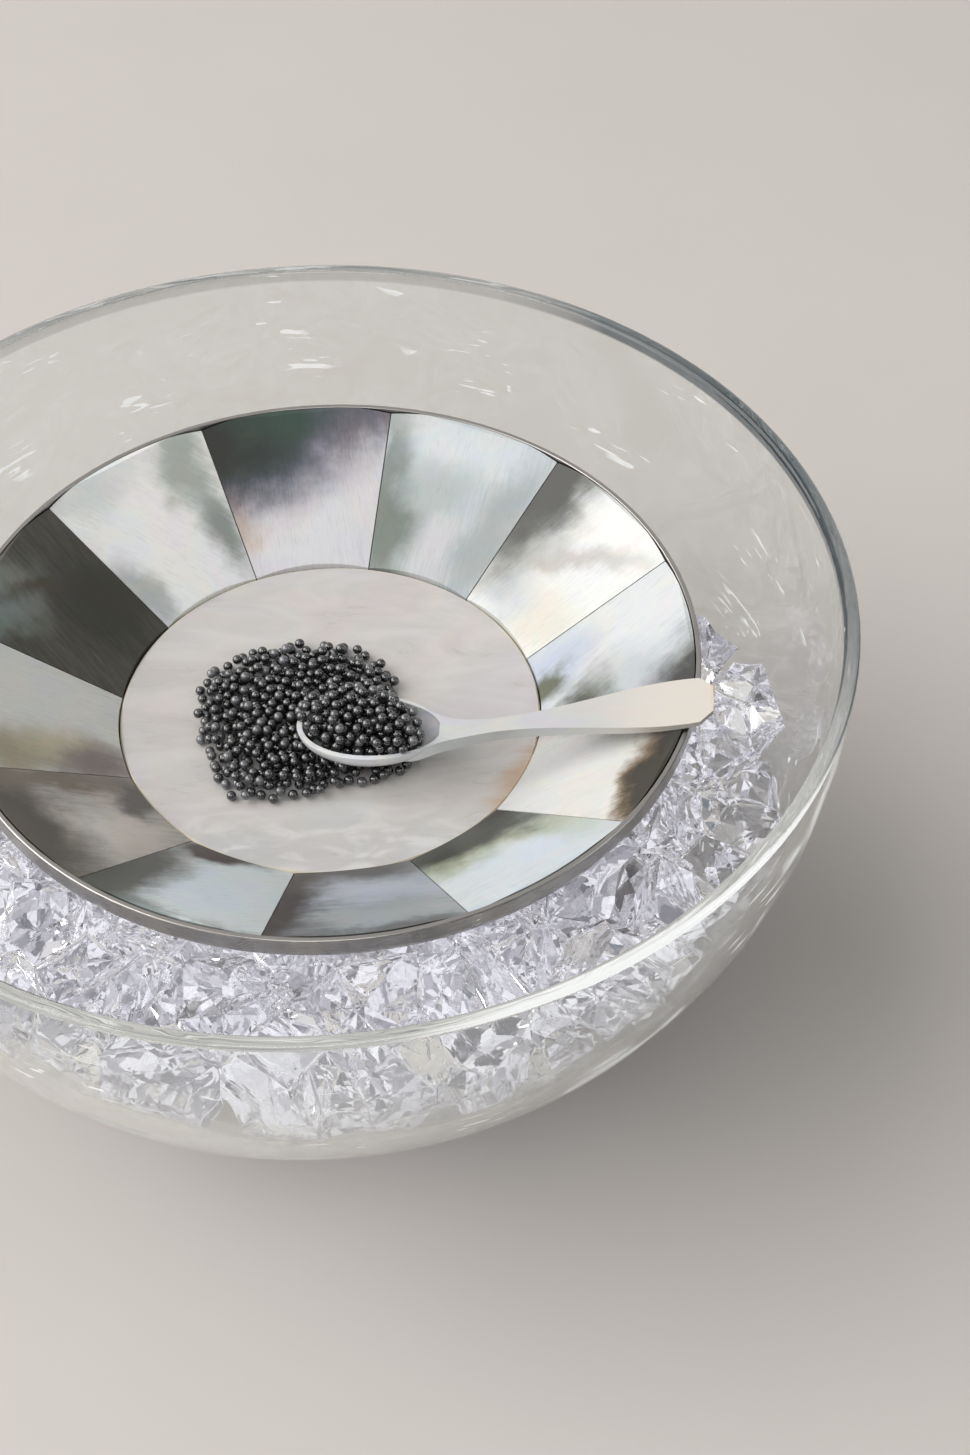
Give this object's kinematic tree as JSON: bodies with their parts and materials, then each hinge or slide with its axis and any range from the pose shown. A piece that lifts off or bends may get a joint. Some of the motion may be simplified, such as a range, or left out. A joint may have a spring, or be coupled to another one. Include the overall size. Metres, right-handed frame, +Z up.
{
  "type": "caviar server",
  "caption": "Clear glass bowl of crushed ice that chills a shallow metal dish inlaid with mother-of-pearl, with a heap of caviar and a matching spoon resting in it",
  "frame": {"origin": "the middle of the bowl's flat foot, on the surface that it stands on", "axes": "+Z is up through the bowl; the spoon's handle points towards +X; -Y is the side that the picture looks from"},
  "size_m": [0.26, 0.26, 0.123],
  "materials": {
    "clear_glass": "clear blown glass with a polished rim",
    "plated_metal": "spun metal, plated, with a satin rim band",
    "dark_resin": "dark setting resin, rubbed down with the slips",
    "black_lip_pearl": "polished black-lip mother-of-pearl, clouded from white to charcoal",
    "white_pearl": "polished white mother-of-pearl",
    "caviar": "wet black roe",
    "ice": "clear crushed ice"
  },
  "bodies": {
    "root": {"glass_bowl": "clear_glass", "dish_shell": "plated_metal", "setting_resin": "dark_resin", "pearl_tile_01": "black_lip_pearl", "pearl_tile_02": "black_lip_pearl", "pearl_tile_03": "black_lip_pearl", "pearl_tile_04": "black_lip_pearl", "pearl_tile_05": "black_lip_pearl", "pearl_tile_06": "black_lip_pearl", "pearl_tile_07": "black_lip_pearl", "pearl_tile_08": "black_lip_pearl", "pearl_tile_09": "black_lip_pearl", "pearl_tile_10": "black_lip_pearl", "pearl_tile_11": "black_lip_pearl", "pearl_tile_12": "black_lip_pearl", "centre_disc": "white_pearl", "spoon": "white_pearl", "caviar_heap": "caviar", "spoonful_of_caviar": "caviar", "crushed_ice": "ice"}
  },
  "joints": []
}
